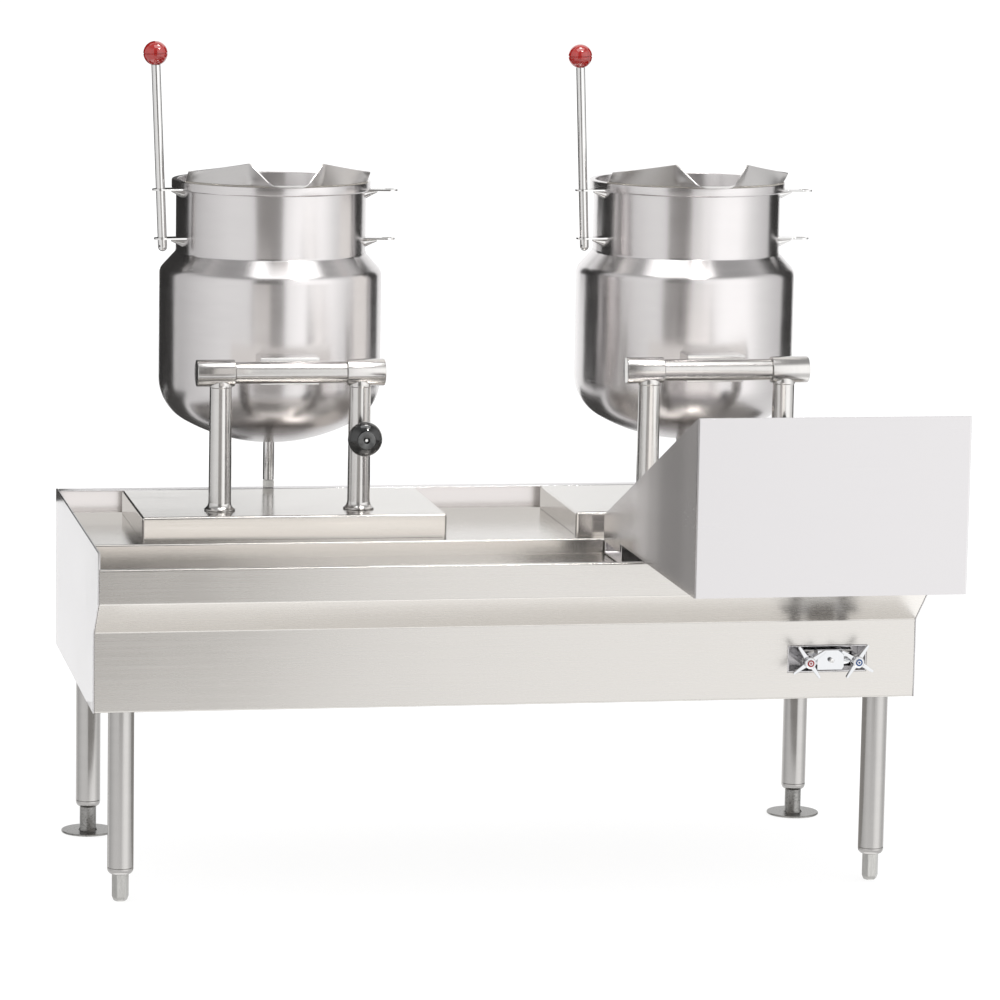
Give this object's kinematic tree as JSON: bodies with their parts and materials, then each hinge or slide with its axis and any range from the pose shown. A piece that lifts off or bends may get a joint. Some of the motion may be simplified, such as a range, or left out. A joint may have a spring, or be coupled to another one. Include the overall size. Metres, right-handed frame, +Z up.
{
  "type": "steam jacketed kettle",
  "caption": "Twin tilting steam jacketed kettles with butterfly pouring lips on an open-leg stand with drain trough, sliding splash shield and faucet valve.",
  "frame": {"origin": "on the floor, midway between the front of the splash shield and the back of the kettles, and midway between the side panels", "axes": "+Z up, +X to the right as the operator faces the stand, +Y from the operator towards the kettles"},
  "size_m": [1.2192, 1.0851, 1.2215],
  "materials": {
    "brushed_stainless": "brushed",
    "satin_stainless": "fine satin",
    "polished_stainless": "polished",
    "chrome": "polished chrome plate",
    "red_ball_plastic": "glossy",
    "black_knob_plastic": "satin gloss",
    "white_nylon": "matt",
    "red_index": "glossy",
    "blue_index": "glossy"
  },
  "bodies": {
    "root": {"kettle_1_post_left": "brushed_stainless", "kettle_1_post_right": "brushed_stainless", "kettle_1_valve_bonnet": "polished_stainless", "kettle_2_post_left": "brushed_stainless", "kettle_2_post_right": "brushed_stainless", "kettle_2_valve_bonnet": "polished_stainless", "side_panel_left": "satin_stainless", "side_panel_right": "satin_stainless", "rear_panel": "satin_stainless", "front_fascia": "brushed_stainless", "deck_pan": "brushed_stainless", "trough": "brushed_stainless", "trough_drain": "chrome", "platform_1": "brushed_stainless", "platform_2": "brushed_stainless", "faucet_recess": "satin_stainless", "faucet_body": "chrome", "leg_front_left": "brushed_stainless", "leg_front_right": "brushed_stainless", "leg_rear_left": "brushed_stainless", "leg_rear_right": "brushed_stainless"},
    "kettle_1": {"kettle_1_bowl": "brushed_stainless", "kettle_1_jacket": "brushed_stainless", "kettle_1_pour_lip": "satin_stainless", "kettle_1_tab_upper_left": "polished_stainless", "kettle_1_tab_upper_right": "polished_stainless", "kettle_1_tab_lower_left": "polished_stainless", "kettle_1_tab_lower_right": "polished_stainless", "kettle_1_trunnion_tube": "brushed_stainless", "kettle_1_saddle": "satin_stainless", "kettle_1_rest_rod": "polished_stainless", "kettle_1_rest_pad": "white_nylon"},
    "lever_1": {"kettle_1_lever_rod": "polished_stainless", "kettle_1_lever_ball": "red_ball_plastic"},
    "steam_knob_1": {"kettle_1_valve_knob": "black_knob_plastic"},
    "kettle_2": {"kettle_2_bowl": "brushed_stainless", "kettle_2_jacket": "brushed_stainless", "kettle_2_pour_lip": "satin_stainless", "kettle_2_tab_upper_left": "polished_stainless", "kettle_2_tab_upper_right": "polished_stainless", "kettle_2_tab_lower_left": "polished_stainless", "kettle_2_tab_lower_right": "polished_stainless", "kettle_2_trunnion_tube": "brushed_stainless", "kettle_2_saddle": "satin_stainless", "kettle_2_rest_rod": "polished_stainless", "kettle_2_rest_pad": "white_nylon"},
    "lever_2": {"kettle_2_lever_rod": "polished_stainless", "kettle_2_lever_ball": "red_ball_plastic"},
    "steam_knob_2": {"kettle_2_valve_knob": "black_knob_plastic"},
    "shield": {"splash_shield": "satin_stainless", "drain_drawer": "satin_stainless"},
    "hot_tap": {"hot_handle": "chrome", "hot_index_button": "red_index"},
    "cold_tap": {"cold_handle": "chrome", "cold_index_button": "blue_index"},
    "foot_front_left": {"foot_front_left": "satin_stainless"},
    "foot_front_right": {"foot_front_right": "satin_stainless"},
    "foot_rear_left": {"foot_rear_left": "satin_stainless"},
    "foot_rear_right": {"foot_rear_right": "satin_stainless"}
  },
  "joints": [
    {"name": "kettle_1_tilt", "type": "hinge", "parent": "root", "child": "kettle_1", "pos_m": [-0.281, 0.14795, 0.7368], "axis": [1, 0, 0], "range_deg": [0, 90]},
    {"name": "lever_1_lift", "type": "slide", "parent": "kettle_1", "child": "lever_1", "axis": [-0.0439, -0.0116, 0.999], "range_m": [0, 0.1]},
    {"name": "steam_knob_1_turn", "type": "hinge", "parent": "root", "child": "steam_knob_1", "pos_m": [-0.1757, 0.09635, 0.6425], "axis": [0, -1, 0], "range_deg": [0, 720]},
    {"name": "kettle_2_tilt", "type": "hinge", "parent": "root", "child": "kettle_2", "pos_m": [0.376, 0.14795, 0.7368], "axis": [1, 0, 0], "range_deg": [0, 90]},
    {"name": "lever_2_lift", "type": "slide", "parent": "kettle_2", "child": "lever_2", "axis": [-0.0439, -0.0116, 0.999], "range_m": [0, 0.1]},
    {"name": "steam_knob_2_turn", "type": "hinge", "parent": "root", "child": "steam_knob_2", "pos_m": [0.4813, 0.09635, 0.6425], "axis": [0, -1, 0], "range_deg": [0, 720]},
    {"name": "shield_slide", "type": "slide", "parent": "root", "child": "shield", "axis": [1, 0, 0], "range_m": [-0.78, 0.034]},
    {"name": "hot_tap_turn", "type": "hinge", "parent": "root", "child": "hot_tap", "pos_m": [0.438, -0.19455, 0.3485], "axis": [0, -1, 0], "range_deg": [0, 180]},
    {"name": "cold_tap_turn", "type": "hinge", "parent": "root", "child": "cold_tap", "pos_m": [0.511, -0.19455, 0.3485], "axis": [0, -1, 0], "range_deg": [0, 180]},
    {"name": "foot_front_left_level", "type": "slide", "parent": "root", "child": "foot_front_left", "axis": [0, 0, -1], "range_m": [0, 0.02]},
    {"name": "foot_front_right_level", "type": "slide", "parent": "root", "child": "foot_front_right", "axis": [0, 0, -1], "range_m": [0, 0.02]},
    {"name": "foot_rear_left_level", "type": "slide", "parent": "root", "child": "foot_rear_left", "axis": [0, 0, -1], "range_m": [0, 0.02]},
    {"name": "foot_rear_right_level", "type": "slide", "parent": "root", "child": "foot_rear_right", "axis": [0, 0, -1], "range_m": [0, 0.02]}
  ]
}
